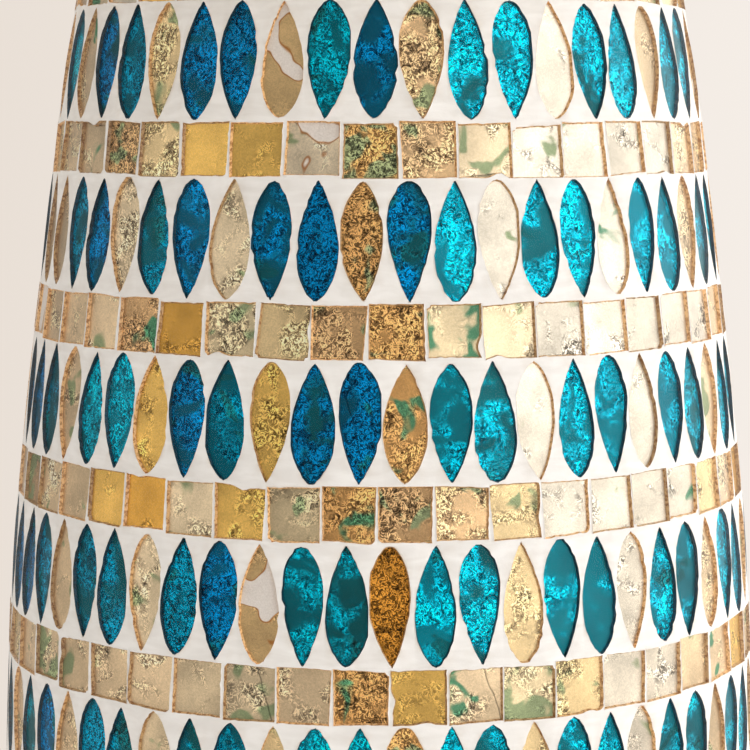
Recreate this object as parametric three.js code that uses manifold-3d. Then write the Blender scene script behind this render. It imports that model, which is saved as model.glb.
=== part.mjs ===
// Mosaic glass table lamp: a hollow glass vessel clad in courses of leaf-shaped and square
// glass tesserae, on a weighted metal foot, with a keyed lamp holder, harp, drum shade and finial.
// Millimetres, +Z up, origin at the centre of the foot's resting face, +Y towards the cord inlet.
import * as THREE from "three";
import { mergeVertices } from "three/addons/utils/BufferGeometryUtils.js";
import Module from "manifold-3d";

const wasm = await Module();
wasm.setup();

// ---- driving dimensions ----
const GAP = 0.3; // clearance between pieces that touch in the real lamp
const ROUND = 24; // facets of the mosaic body, foot and shade
const SMALL = 16; // facets of the small turned pieces
// Outline of the mosaic's outer face, radius and height, from the foot ring to the neck.
const OUTLINE = [
  [56, 36], [80, 64], [95, 100], [101.6, 142], [101.2, 182], [98.8, 222], [94.5, 263],
  [89.1, 305], [83.4, 347], [75.5, 384], [62, 413], [45, 431], [29, 440],
];
const TESSERA = 2.6; // thickness of the glass tesserae
const BED = 1.4; // adhesive and grout bed behind them
const VESSEL_WALL = 4;
const LEAF_COURSE = 28.8; // height along the outline of a course of leaves, joints included
const SQUARE_COURSE = 13.7;
const LEAF_MIDDLE_Z = 305; // height at which one leaf course is centred
const LEAF_COURSES = { below: 7, above: 3 }; // courses under and over that one

const TUBE = { outer: 4.8, inner: 3.2, bottom: 3.4, top: 484 };
const BORE = TUBE.outer + GAP; // bore of whatever is threaded on the tube
const FOOT = { radius: 78, top: 30, wall: 3.5, plate: 4 };
const INLET = { z: 9.3, radius: 5.2, bore: 3.8 }; // cord inlet at the back of the foot
const NECK = { capBottom: 438.2, capTop: 452, spacerTop: 474 };
const SADDLE = { z: 474.3, thick: 2, half: 27, rise: 18, depth: 12 };
const HOLDER = { bottom: 476.9, capTop: 490, shellTop: 530, radius: 17 };
const KEY_Z = 501; // height of the switch shaft, which points forwards, across the harp
const HARP = { wire: 1.6, half: 56, bottom: 486, top: 690 };
const SHADE = { topRadius: 180, bottomRadius: 200, top: 703, height: 262, wall: 1.6 };

// ---- finishes ----
const FINISH = {
  antiqueBrass: { color: 0xa8843f, roughness: 0.35, metalness: 1 },
  brightBrass: { color: 0xc9a24c, roughness: 0.25, metalness: 1 },
  steel: { color: 0x9a9c9e, roughness: 0.4, metalness: 1 },
  castIron: { color: 0x3a3a3c, roughness: 0.8, metalness: 0.6 },
  clearGlass: { color: 0xd8e4e2, roughness: 0.1, metalness: 0 },
  tealGlass: { color: 0x0b7f98, roughness: 0.12, metalness: 0 },
  goldGlass: { color: 0xc9a25a, roughness: 0.15, metalness: 0 },
  grout: { color: 0xf0ebe4, roughness: 0.9, metalness: 0 },
  felt: { color: 0x3b2a22, roughness: 1, metalness: 0 },
  phenolic: { color: 0x1c1a19, roughness: 0.5, metalness: 0 },
  card: { color: 0x8a6f4c, roughness: 0.95, metalness: 0 },
  linen: { color: 0xf1e9db, roughness: 0.95, metalness: 0 },
  opalGlass: { color: 0xf7f5f0, roughness: 0.35, metalness: 0 },
};
const finishes = Object.fromEntries(
  Object.entries(FINISH).map(([name, look]) => [name, new THREE.MeshStandardMaterial(look)]),
);

const lamp = new THREE.Group();

function add(name, geometry, finish) {
  const mesh = new THREE.Mesh(geometry, finishes[finish]);
  mesh.name = name;
  lamp.add(mesh);
  return mesh;
}

// ---- shapes ----
// A solid turned about Z. The profile of [radius, height] pairs runs up its outer side.
function turned(profile, facets = SMALL) {
  const points = profile.map(([r, z]) => new THREE.Vector2(r, z));
  return new THREE.LatheGeometry(points, facets).rotateX(Math.PI / 2);
}

// A turned ring: its profile closes on itself.
function ring(profile, facets = SMALL) {
  return turned([...profile, profile[0]], facets);
}

function tubePiece(inner, outer, bottom, top, facets = SMALL) {
  return ring([[outer, bottom], [outer, top], [inner, top], [inner, bottom]], facets);
}

function circle(radius, sides) {
  const shape = new THREE.Shape();
  for (let i = 0; i < sides; i++) {
    const a = (i / sides) * 2 * Math.PI;
    if (i === 0) shape.moveTo(radius * Math.cos(a), radius * Math.sin(a));
    else shape.lineTo(radius * Math.cos(a), radius * Math.sin(a));
  }
  shape.closePath();
  return shape;
}

function hexNut(acrossFlats, bore, bottom, height) {
  const hexagon = circle(acrossFlats / Math.sqrt(3), 6);
  hexagon.holes.push(circle(bore, 12));
  return new THREE.ExtrudeGeometry(hexagon, { depth: height, bevelEnabled: false, curveSegments: 6 })
    .translate(0, 0, bottom);
}

// A round bar from one point to another.
function bar(from, to, radius, sides = 10) {
  const a = new THREE.Vector3(...from);
  const b = new THREE.Vector3(...to);
  const path = new THREE.LineCurve3(a, b);
  return new THREE.ExtrudeGeometry(circle(radius, sides), { extrudePath: path, steps: 1 });
}

// A round bar bent through a list of points.
function bentBar(points, radius, steps, sides = 8) {
  const path = new THREE.CatmullRomCurve3(points.map((p) => new THREE.Vector3(...p)));
  return new THREE.ExtrudeGeometry(circle(radius, sides), { extrudePath: path, steps });
}

// ---- joining and cutting ----
function solid(geometry) {
  const bare = geometry.clone();
  bare.deleteAttribute("normal");
  bare.deleteAttribute("uv");
  const merged = mergeVertices(bare, 1e-4);
  return new wasm.Manifold(
    new wasm.Mesh({
      numProp: 3,
      vertProperties: new Float32Array(merged.attributes.position.array),
      triVerts: new Uint32Array(merged.index.array),
    }),
  );
}

function shown(manifold) {
  const mesh = manifold.getMesh();
  const geometry = new THREE.BufferGeometry();
  geometry.setAttribute("position", new THREE.BufferAttribute(mesh.vertProperties, 3));
  geometry.setIndex(new THREE.BufferAttribute(mesh.triVerts, 1));
  return geometry;
}

const cut = (body, ...tools) =>
  shown(tools.reduce((rest, tool) => rest.subtract(solid(tool)), solid(body)));
const join = (...bodies) =>
  shown(bodies.map(solid).reduce((all, body) => all.add(body)));

// ---- the outline as a curve measured along its length ----
const outline = new THREE.SplineCurve(OUTLINE.map(([r, z]) => new THREE.Vector2(r, z)));
outline.arcLengthDivisions = 2000;
const outlineLength = outline.getLength();

// The point of the outline at a distance along it, moved inwards by a depth.
function onOutline(distance, depth = 0) {
  const u = Math.min(Math.max(distance / outlineLength, 0), 1);
  const point = outline.getPointAt(u);
  const along = outline.getTangentAt(u);
  return [point.x - along.y * depth, point.y + along.x * depth];
}

function distanceAtHeight(z) {
  let low = 0;
  let high = outlineLength;
  for (let i = 0; i < 40; i++) {
    const middle = (low + high) / 2;
    if (onOutline(middle)[1] < z) low = middle;
    else high = middle;
  }
  return low;
}

// A shell between two depths below the outline, through a list of distances along it.
function shellThrough(distances, outerDepth, innerDepth) {
  const outer = distances.map((distance) => onOutline(distance, outerDepth));
  const inner = distances.map((distance) => onOutline(distance, innerDepth)).reverse();
  return ring([...outer, ...inner], ROUND);
}

// ---- foot ----
function buildFoot() {
  add("felt_pad", tubePiece(16, FOOT.radius - 3, 0, 2, ROUND), "felt");

  const under = FOOT.top - FOOT.plate;
  const shell = ring(
    [
      [FOOT.radius, 2 + GAP], [FOOT.radius, 8], [FOOT.radius - 4, 12], [FOOT.radius - 12, 17],
      [FOOT.radius - 16, 24], [FOOT.radius - 16, FOOT.top], [BORE, FOOT.top], [BORE, under],
      [FOOT.radius - 20, under], [FOOT.radius - 19, 18], [FOOT.radius - FOOT.wall - 3, 11],
      [FOOT.radius - FOOT.wall, 8], [FOOT.radius - FOOT.wall, 2 + GAP],
    ],
    ROUND,
  );
  const inletHole = bar([0, 60, INLET.z], [0, FOOT.radius + 4, INLET.z], INLET.radius + GAP);
  add("foot_shell", cut(shell, inletHole), "antiqueBrass");
  const inletBar = (from, to, radius) => bar([0, from, INLET.z], [0, to, INLET.z], radius);
  const sleeve = inletBar(FOOT.radius - 12, FOOT.radius + 1, INLET.radius);
  const flange = inletBar(FOOT.radius + GAP, FOOT.radius + 2.4, INLET.radius + 1.6);
  const bushing = cut(join(sleeve, flange), inletBar(60, 90, INLET.bore));
  add("cord_inlet_bushing", bushing, "phenolic");

  add("counterweight", tubePiece(BORE, 56, 11.5, under - GAP, ROUND), "castIron");
  add("foot_washer", tubePiece(BORE, 11, 9.6, 11.2), "steel");
  add("foot_nut", hexNut(15, BORE, 4, 5.3), "steel");
  add("tube", tubePiece(TUBE.inner, TUBE.outer, TUBE.bottom, TUBE.top, 12), "steel");
  add(
    "foot_collar",
    ring([[60, 30.3], [60, 32], [57, 35.4], [30, 35.4], [30, 30.3]], ROUND),
    "brightBrass",
  );
}

// ---- vessel and mosaic ----
// Courses from the foot to the neck. Each leaf course has a square course over it.
function layOutCourses() {
  const middle = distanceAtHeight(LEAF_MIDDLE_Z);
  const courses = [];
  for (let k = -LEAF_COURSES.below; k <= LEAF_COURSES.above; k++) {
    const start = middle + k * (LEAF_COURSE + SQUARE_COURSE) - LEAF_COURSE / 2;
    const leaf = { kind: "leaf", from: start, to: start + LEAF_COURSE };
    courses.push(leaf, { kind: "square", from: leaf.to, to: leaf.to + SQUARE_COURSE });
  }
  return courses
    .map(({ kind, from, to }) => ({ kind, from: Math.max(from, 0), to: Math.min(to, outlineLength) }))
    .filter(({ from, to }) => to - from > 4);
}
const courses = layOutCourses();

function buildCourses() {
  const count = { leaf: 0, square: 0 };
  for (const { kind, from, to } of courses) {
    const number = String(++count[kind]).padStart(2, "0");
    const [start, end] = [from + GAP / 2, to - GAP / 2];
    const through = kind === "leaf" ? [start, (start + end) / 2, end] : [start, end];
    const finish = kind === "leaf" ? "tealGlass" : "goldGlass";
    add(kind + "_course_" + number, shellThrough(through, 0, TESSERA), finish);
  }
}

function buildVessel() {
  const stations = [...courses.map(({ from }) => from), outlineLength];
  const bedFace = TESSERA + 2 * GAP;
  const vesselFace = bedFace + BED + GAP;
  add("grout_bed", shellThrough(stations, bedFace, bedFace + BED), "grout");
  add("glass_vessel", shellThrough(stations, vesselFace, vesselFace + VESSEL_WALL), "clearGlass");
  add("centring_plug", tubePiece(BORE, 46, 35.7, 40, ROUND), "steel");
}

// ---- neck ----
function buildNeck() {
  add(
    "neck_cap",
    ring([
      [36, NECK.capBottom], [36, 441], [30, 445.5], [18, 449], [14, NECK.capTop],
      [BORE, NECK.capTop], [BORE, 448], [16, 445.5], [31, NECK.capBottom + 2.4],
    ], ROUND),
    "antiqueBrass",
  );
  add(
    "neck_spacer",
    ring([
      [12, 452.3], [13.5, 454], [9, 456.5], [13, 459.5], [14.5, 463], [13, 466.5], [9, 469.5],
      [12.5, 472], [12.5, NECK.spacerTop], [BORE, NECK.spacerTop], [BORE, 452.3],
    ]),
    "brightBrass",
  );
}

// ---- harp ----
function buildHarp() {
  const { z, thick, half, rise, depth } = SADDLE;
  const strip = new THREE.Shape();
  strip.moveTo(-half, z + rise);
  strip.lineTo(-half, z + 3);
  strip.lineTo(-half + 3, z);
  strip.lineTo(half - 3, z);
  strip.lineTo(half, z + 3);
  strip.lineTo(half, z + rise);
  strip.lineTo(half - thick, z + rise);
  strip.lineTo(half - thick, z + 4);
  strip.lineTo(half - thick - 2, z + thick);
  strip.lineTo(-half + thick + 2, z + thick);
  strip.lineTo(-half + thick, z + 4);
  strip.lineTo(-half + thick, z + rise);
  strip.closePath();
  const plate = new THREE.ExtrudeGeometry(strip, { depth, bevelEnabled: false })
    .rotateX(Math.PI / 2)
    .translate(0, depth / 2, 0);
  add("harp_saddle", cut(plate, bar([0, 0, z - 4], [0, 0, z + 6], BORE, 12)), "brightBrass");

  const leg = half + HARP.wire + GAP;
  const loop = [
    [-leg, 0, HARP.bottom], [-leg, 0, 504], [-leg, 0, 520], [-leg - 7, 0, 540], [-HARP.half, 0, 585],
    [-HARP.half + 1, 0, 630], [-HARP.half + 16, 0, 668], [-22, 0, HARP.top - 5],
    [0, 0, HARP.top - 3],
    [22, 0, HARP.top - 5], [HARP.half - 16, 0, 668], [HARP.half - 1, 0, 630],
    [HARP.half, 0, 585], [leg + 7, 0, 540], [leg, 0, 520], [leg, 0, 504], [leg, 0, HARP.bottom],
  ];
  add("harp_loop", bentBar(loop, HARP.wire, 44), "brightBrass");
  const stud = [
    [0, HARP.top - 1.1], [9, HARP.top - 1.1], [9, HARP.top + 1], [3, HARP.top + 1],
    [3, HARP.top + 15], [0, HARP.top + 15],
  ];
  add("harp_stud", turned(stud), "brightBrass");
  for (const [side, sign] of [["left", -1], ["right", 1]]) {
    const sleeve = tubePiece(HARP.wire + 2 * GAP, 4.2, z + rise + GAP, z + rise + 13, 12);
    sleeve.translate(sign * leg, 0, 0);
    add("ferrule_" + side, sleeve, "brightBrass");
  }
}

// ---- lamp holder ----
function buildHolder() {
  const { bottom, capTop, shellTop, radius } = HOLDER;
  add(
    "holder_cap",
    ring([
      [9, bottom], [9, bottom + 3], [radius - 1, bottom + 7], [radius + 0.8, bottom + 9],
      [radius + 0.8, capTop], [radius - 0.6, capTop], [radius - 0.6, bottom + 9.4],
      [BORE, bottom + 4.6], [BORE, bottom],
    ]),
    "brightBrass",
  );
  const shaftHole = bar([0, -2, KEY_Z], [0, -30, KEY_Z], 2.4);
  const shell = ring([
    [radius, capTop + GAP], [radius, shellTop - 3], [radius + 1, shellTop], [radius - 0.2, shellTop],
    [radius - 1.1, shellTop - 3], [radius - 1.1, capTop + GAP],
  ]);
  add("holder_shell", cut(shell, shaftHole), "brightBrass");
  add("insulating_sleeve", cut(tubePiece(14.9, 15.6, 491, 528), shaftHole), "card");
  const block = turned([[0, 490.6], [14.4, 490.6], [14.4, 511], [0, 511]]);
  add("holder_block", cut(block, shaftHole), "phenolic");
  add("centre_contact", turned([[0, 511.3], [4, 511.3], [4, 512.8], [0, 512.8]], 12), "brightBrass");
  add("screw_shell", tubePiece(13.5, 14.2, 511.4, 527), "brightBrass");

  add("switch_shaft", bar([0, -6, KEY_Z], [0, -20, KEY_Z], 1.9), "brightBrass");
  const paddle = new THREE.ExtrudeGeometry(circle(7, 14), { depth: 3.6, bevelEnabled: false })
    .translate(0, 0, -1.8)
    .rotateY(Math.PI / 2)
    .translate(0, -30, KEY_Z);
  const key = join(bar([0, -20.3, KEY_Z], [0, -26, KEY_Z], 3.2), paddle);
  add("switch_key", key, "brightBrass");
}

// ---- bulb ----
function buildBulb() {
  add(
    "bulb_cap",
    turned([[0, 513.2], [3, 513.2], [3.4, 514.6], [9, 516], [13, 518], [13, 538], [0, 538]]),
    "steel",
  );
  add(
    "bulb_collar",
    ring([[13.4, 538.3], [15, 548], [21, 561], [19.4, 561], [13.4, 548], [11.8, 538.3]]),
    "linen",
  );
  const wall = 1.2;
  const outside = [
    [20.7, 561.3], [27.5, 576], [30, 590], [27.6, 604], [20, 615.5], [10, 621], [0, 622.5],
  ];
  const inside = outside.map(([r, z]) => [Math.max(r - wall, 0), r ? z : z - wall]).reverse();
  inside[inside.length - 1][1] = outside[0][1];
  add("bulb_globe", turned([...inside, ...outside]), "opalGlass");
}

// ---- shade and finial ----
function buildShade() {
  const { topRadius, bottomRadius, top, height, wall } = SHADE;
  const bottom = top - height;
  const drum = ring(
    [[bottomRadius, bottom], [topRadius, top], [topRadius - wall, top], [bottomRadius - wall, bottom]],
    ROUND,
  );
  add("shade_drum", drum, "linen");
  const topRing = tubePiece(topRadius - 4.6, topRadius - wall - 0.2, top - 4.5, top - 1.8, ROUND);
  add("shade_top_ring", topRing, "steel");
  const bottomInside = bottomRadius - wall;
  const bottomRing = tubePiece(bottomInside - 3.4, bottomInside - 0.6, bottom + 1.2, bottom + 3.8, ROUND);
  add("shade_bottom_ring", bottomRing, "steel");
  const washer = tubePiece(3.4, 14, HARP.top + 1.3, HARP.top + 2.9);
  const spokes = [30, 150, 270].map((degrees) => {
    const a = (degrees * Math.PI) / 180;
    const at = (r, z) => [r * Math.cos(a), r * Math.sin(a), z];
    return bar(at(10, HARP.top + 2.1), at(topRadius - 5.2, top - 3.2), 1.5, 8);
  });
  add("shade_spider", join(washer, ...spokes), "brightBrass");
}

function buildFinial() {
  const seat = HARP.top + 3.2;
  const profile = [
    [0, 13.3], [3.3, 13.3], [3.3, 0], [8, 0], [8, 2.4], [5.4, 4.5], [5.4, 7.5], [9, 12],
    [11.5, 18], [11, 25], [7, 31], [3, 34.5], [2.4, 37], [0, 38.5],
  ];
  add("finial", turned(profile.map(([r, z]) => [r, z + seat])), "antiqueBrass");
}

buildFoot();
buildVessel();
buildCourses();
buildNeck();
buildHarp();
buildHolder();
buildBulb();
buildShade();
buildFinial();

export default lamp;
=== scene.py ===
import math

import bmesh
import bpy
import numpy as np
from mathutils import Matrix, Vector


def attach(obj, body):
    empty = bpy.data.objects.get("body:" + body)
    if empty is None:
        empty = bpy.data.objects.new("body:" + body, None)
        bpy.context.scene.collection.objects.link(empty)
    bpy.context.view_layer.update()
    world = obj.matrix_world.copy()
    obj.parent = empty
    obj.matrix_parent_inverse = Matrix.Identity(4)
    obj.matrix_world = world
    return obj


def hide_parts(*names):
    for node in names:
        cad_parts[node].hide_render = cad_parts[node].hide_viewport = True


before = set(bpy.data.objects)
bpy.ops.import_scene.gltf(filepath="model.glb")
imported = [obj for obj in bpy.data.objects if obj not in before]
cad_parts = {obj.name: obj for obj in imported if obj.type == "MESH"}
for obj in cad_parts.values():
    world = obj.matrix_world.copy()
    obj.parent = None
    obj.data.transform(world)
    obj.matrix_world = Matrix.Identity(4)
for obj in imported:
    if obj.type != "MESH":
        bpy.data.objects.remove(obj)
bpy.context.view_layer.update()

# Mosaic glass table lamp. Lengths are written in millimetres and turned into metres by mm.
# Turns round the lamp are counted from the front, -Y, towards +X.
mm = 0.001

bpy.context.scene.view_settings.view_transform = "Standard"
print("frame loaded")

cameraSettings = {
    "place": (-1.3, -635.7, 333.8),
    "pitch": 6.27,  # degrees below level
    "lens": 113.0,
}
cameraPlace = tuple(mm * part for part in cameraSettings["place"])


def makeCamera():
    data = bpy.data.cameras.new("camera")
    data.lens, data.sensor_width = cameraSettings["lens"], 36.0
    data.clip_start, data.clip_end = 0.02, 60.0
    camera = bpy.data.objects.new("camera", data)
    camera.location = cameraPlace
    camera.rotation_euler = (math.radians(90.0 - cameraSettings["pitch"]), 0.0, 0.0)
    bpy.context.collection.objects.link(camera)
    bpy.context.scene.camera = camera


makeCamera()


def setInputs(node, inputs):
    # An input given as a socket is linked, anything else is its value.
    for name, value in inputs.items():
        if isinstance(value, bpy.types.NodeSocket):
            node.id_data.links.new(value, node.inputs[name])
        else:
            node.inputs[name].default_value = value
    return node


def addNode(tree, kind, inputs=None, **settings):
    node = tree.nodes.new(kind)
    for name, value in settings.items():
        setattr(node, name, value)
    return setInputs(node, inputs or {})


def treeOf(*values):
    # The node tree that the sockets among these values belong to.
    return next(value.id_data for value in values if isinstance(value, bpy.types.NodeSocket))


def mathNode(operation, a, b=0.0, clamp=False):
    node = addNode(treeOf(a, b), "ShaderNodeMath", {0: a, 1: b}, operation=operation, use_clamp=clamp)
    return node.outputs[0]


def times(a, b):
    return mathNode("MULTIPLY", a, b)


def plus(a, b, clamp=False):
    return mathNode("ADD", a, b, clamp)


def minus(a, b, clamp=False):
    return mathNode("SUBTRACT", a, b, clamp)


def mixColour(share, a, b, blend="MIX"):
    inputs = {"Factor": share, 6: a, 7: b}
    node = addNode(treeOf(share, a, b), "ShaderNodeMix", inputs, data_type="RGBA", blend_type=blend)
    return node.outputs[2]


def mixNumber(share, a, b):
    return addNode(treeOf(share), "ShaderNodeMix", {0: share, 2: a, 3: b}, data_type="FLOAT").outputs[0]


def mixShaders(share, first, second):
    inputs = {0: share, 1: first.outputs[0], 2: second.outputs[0]}
    return addNode(first.id_data, "ShaderNodeMixShader", inputs)


def noiseNode(where, scale, detail=2.0, distortion=0.0):
    inputs = {"Vector": where, "Scale": scale, "Detail": detail, "Distortion": distortion}
    return addNode(treeOf(where), "ShaderNodeTexNoise", inputs).outputs[0]


def stretched(where, scale):
    return addNode(treeOf(where), "ShaderNodeMapping", {"Vector": where, "Scale": scale}).outputs[0]


def splitUp(where):
    return addNode(treeOf(where), "ShaderNodeSeparateXYZ", {0: where}).outputs


def rampUp(value, low, high):
    # Rises smoothly from 0 at low to 1 at high.
    inputs = {0: value, 1: low, 2: high}
    node = addNode(treeOf(value), "ShaderNodeMapRange", inputs, interpolation_type="SMOOTHSTEP")
    return node.outputs[0]


def newMaterial(name):
    material = bpy.data.materials.new(name)
    material.use_nodes = True
    tree = material.node_tree
    return material, tree, tree.nodes["Principled BSDF"]


def objectPlace(tree):
    return addNode(tree, "ShaderNodeTexCoord").outputs["Object"]


def makeMaterial(name, look, *settings):
    # look works out the shader's inputs from the place on the object and the settings.
    material, tree, shader = newMaterial(name)
    setInputs(shader, look(objectPlace(tree), *settings))
    return material


def attributeNode(place, name, output="Color"):
    return addNode(treeOf(place), "ShaderNodeAttribute", attribute_name=name).outputs[output]


def bumpNode(height, distance, strength=1.0):
    inputs = {"Height": height, "Distance": distance, "Strength": strength}
    return addNode(treeOf(height), "ShaderNodeBump", inputs).outputs[0]


def linear(colour):
    # From the 0 to 255 values of a colour chart to linear light.
    share = np.asarray(colour, float) / 255.0
    return tuple(np.where(share > 0.04045, ((share + 0.055) / 1.055) ** 2.4, share / 12.92))


def rgba(colour):
    return (*linear(colour), 1.0)


# The room: a pale backdrop, a window-like key light on the right and soft fills.
studio = {
    "ambient": 0.54,
    "backdropLeft": (231, 221, 211),
    "backdropRight": (247, 240, 233),
    # Each light's turn in degrees, distance, height, size, power, warmth, and the height it faces.
    "lights": {
        "key": (58.0, 1.5, 0.75, (2.3, 1.6), 19.5, 0.0, 0.33),
        "fill": (-72.0, 1.7, 0.6, (1.6, 1.8), 5.5, 1.0, 0.33),
        "side": (118.0, 1.6, 0.7, (1.5, 1.6), 13.0, 0.0, 0.33),
        "rear": (190.0, 2.0, 1.3, (1.6, 1.2), 14.0, 0.0, 0.33),
        "overhead": (10.0, 0.5, 2.3, (1.4, 1.4), 12.0, 0.0, 0.2),
    },
    "floorRims": (66.0, 14000.0),
    "floorNear": 0.30,  # the floor is plain up to here and has faded into the backdrop at floorFar
    "floorFar": 0.56,
}


def backdropColour(across):
    # The backdrop from the left to the right of the view, by the level share of a direction.
    share = rampUp(across, -0.3, 0.3)
    return mixColour(share, rgba(studio["backdropLeft"]), rgba(studio["backdropRight"]))


def makeWorld():
    world = bpy.data.worlds.new("studio")
    world.use_nodes = True
    tree = world.node_tree
    tree.nodes.clear()
    direction = addNode(tree, "ShaderNodeTexCoord").outputs["Generated"]
    seen = {"Color": backdropColour(splitUp(direction)[0]), "Strength": 1.0}
    ambient = {"Color": (1.0, 0.98, 0.955, 1.0), "Strength": studio["ambient"]}
    cameraRay = addNode(tree, "ShaderNodeLightPath").outputs["Is Camera Ray"]
    mixed = mixShaders(cameraRay, *(addNode(tree, "ShaderNodeBackground", inputs)
                                    for inputs in (ambient, seen)))
    addNode(tree, "ShaderNodeOutputWorld", {"Surface": mixed.outputs[0]})
    bpy.context.scene.world = world


def makeLight(name, turn, distance, height, size, power, warmth, aim):
    # A soft panel at a turn round the lamp, facing a point on its axis.
    data = bpy.data.lights.new(name, "AREA")
    data.shape, data.energy = "RECTANGLE", power
    data.size, data.size_y = size
    data.color = (1.0, 0.99 - 0.02 * warmth, 0.98 - 0.05 * warmth)
    light = bpy.data.objects.new(name, data)
    angle = math.radians(turn)
    light.location = (distance * math.sin(angle), -distance * math.cos(angle), height)
    toLamp = Vector((0.0, 0.0, aim)) - light.location
    light.rotation_euler = toLamp.to_track_quat("-Z", "Y").to_euler()
    light.visible_camera = False
    bpy.context.collection.objects.link(light)


def makeFloor():
    # A wide ring, open under the felt pad so that the pad can be seen from below.
    turns = fullTurn(96)
    rims = np.array(studio["floorRims"])[:, None]
    points = np.stack([np.cos(turns) * rims, np.sin(turns) * rims, 0 * turns * rims], -1)
    material, tree, shader = newMaterial("floorPaint")
    floor = meshObject("floor", points, gridFaces(2, len(turns), closeColumns=True), [material])
    place = objectPlace(tree)
    soft = rampUp(noiseNode(place, 3.0, 3.0), 0.3, 0.7)
    colour = mixColour(soft, rgba((232, 225, 217)), rgba((236, 230, 223)))
    setInputs(shader, {"Base Color": colour, "Roughness": 0.85})

    # Away from the lamp the floor takes the backdrop's colour, as a sweep of paper does.
    reach = addNode(tree, "ShaderNodeVectorMath", {0: place, 1: cameraPlace}, operation="DISTANCE")
    away = addNode(tree, "ShaderNodeVectorMath", {0: place}, operation="LENGTH").outputs["Value"]
    paper = backdropColour(mathNode("DIVIDE", splitUp(place)[0], reach.outputs["Value"]))
    glow = addNode(tree, "ShaderNodeEmission", {"Color": paper})
    cameraRay = addNode(tree, "ShaderNodeLightPath").outputs["Is Camera Ray"]
    share = rampUp(away, studio["floorNear"], studio["floorFar"])
    mixed = mixShaders(times(share, cameraRay), shader, glow)
    below = addNode(tree, "ShaderNodeNewGeometry").outputs["Backfacing"]
    oneSided = mixShaders(below, mixed, addNode(tree, "ShaderNodeBsdfTransparent"))
    setInputs(tree.nodes["Material Output"], {"Surface": oneSided.outputs[0]})


def meshObject(name, points, faces, materials, sizes=None, faceMaterial=None, smooth=True):
    # points in millimetres; faces lists the vertices of all faces, four to each without sizes.
    mesh = bpy.data.meshes.new(name)
    points = np.asarray(points, np.float64).reshape(-1, 3) * mm
    corners = np.asarray(faces, np.int32).ravel()
    sizes = np.full(len(corners) // 4, 4) if sizes is None else sizes
    mesh.vertices.add(len(points))
    mesh.vertices.foreach_set("co", points.astype(np.float32).ravel())
    mesh.loops.add(len(corners))
    mesh.loops.foreach_set("vertex_index", corners)
    mesh.polygons.add(len(sizes))
    starts = np.concatenate([[0], np.cumsum(sizes)[:-1]]).astype(np.int32)
    mesh.polygons.foreach_set("loop_start", starts)
    if faceMaterial is not None:
        mesh.polygons.foreach_set("material_index", faceMaterial.astype(np.int32))
    mesh.polygons.foreach_set("use_smooth", np.full(len(sizes), smooth))
    for material in materials:
        mesh.materials.append(material)
    mesh.update(calc_edges=True)
    piece = bpy.data.objects.new(name, mesh)
    bpy.context.collection.objects.link(piece)
    return piece


sharpAngle = math.radians(35.0)


def fullTurn(count):
    return np.linspace(0, 2 * np.pi, count, endpoint=False)


def roundAxis(radius, turns, height):
    return np.stack(np.broadcast_arrays(radius * np.sin(turns), -radius * np.cos(turns), height), -1)


def gridFaces(rows, columns, closeRows=False, closeColumns=False):
    # Quads over a grid of rows by columns of points, wrapping round where asked.
    i = np.arange(rows if closeRows else rows - 1)[:, None]
    j = np.arange(columns if closeColumns else columns - 1)[None, :]
    nextI, nextJ = (i + 1) % rows, (j + 1) % columns
    quads = np.stack(np.broadcast_arrays(i * columns + j, nextI * columns + j,
                                         nextI * columns + nextJ, i * columns + nextJ), -1)
    return quads.reshape(-1, 4)


def closePoles(piece):
    # Joins the points that meet on the axis, which closes the ends.
    shape = bmesh.new()
    shape.from_mesh(piece.data)
    bmesh.ops.remove_doubles(shape, verts=shape.verts, dist=1e-7)
    loose = [edge for edge in shape.edges if not edge.link_faces]
    bmesh.ops.delete(shape, geom=loose, context="EDGES")
    shape.to_mesh(piece.data)
    shape.free()
    piece.data.set_sharp_from_angle(angle=sharpAngle)
    return piece


def addAttribute(piece, name, values):
    # Four numbers to a point are a colour and three a vector.
    isColour = np.shape(values)[-1] == 4
    attribute = piece.data.attributes.new(name, "FLOAT_COLOR" if isColour else "FLOAT_VECTOR", "POINT")
    attribute.data.foreach_set("color" if isColour else "vector", np.asarray(values, np.float32).ravel())


def settle(piece, body, slot, *nodes):
    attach(piece, body)
    if nodes:
        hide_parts(*nodes)
    return piece


def metalLook(place, light, dark, roughness, wear):
    # Brass or steel: broad tarnish, a fine brushed grain round the axis and small pits.
    broad = rampUp(noiseNode(place, 28.0, 5.0, 0.6), 0.35, 0.72)
    spots = rampUp(noiseNode(place, 420.0, 3.0), 0.58, 0.75)
    tarnish = times(plus(broad, spots, True), wear)
    grain = noiseNode(stretched(place, (60.0, 60.0, 1500.0)), 1.0)
    rough = plus(plus(times(tarnish, 0.25), roughness), times(grain, 0.08))
    height = plus(grain, times(spots, -0.6))
    return {
        "Base Color": mixColour(tarnish, rgba(light), rgba(dark)),
        "Metallic": 1.0,
        "Roughness": rough,
        "Normal": bumpNode(height, 0.00003, 0.6),
    }


def mouldedLook(place, colour, roughness, grainScale, coat=0.0):
    # Plastic, card, felt or cast iron: a broad change of tone and a fine grain.
    grain = noiseNode(place, grainScale, 4.0)
    broad = noiseNode(place, 45.0, 3.0)
    tone = plus(times(grain, 0.35), broad)
    darker = tuple(0.72 * part for part in colour)
    return {
        "Base Color": mixColour(rampUp(tone, 0.45, 0.9), rgba(darker), rgba(colour)),
        "Roughness": plus(times(grain, 0.15), roughness - 0.07),
        "Coat Weight": coat,
        "Normal": bumpNode(grain, 0.00005, 0.5),
    }


makeWorld()
for name, settings in studio["lights"].items():
    makeLight(name, *settings)
makeFloor()
print("camera, lights and floor made")

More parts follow.
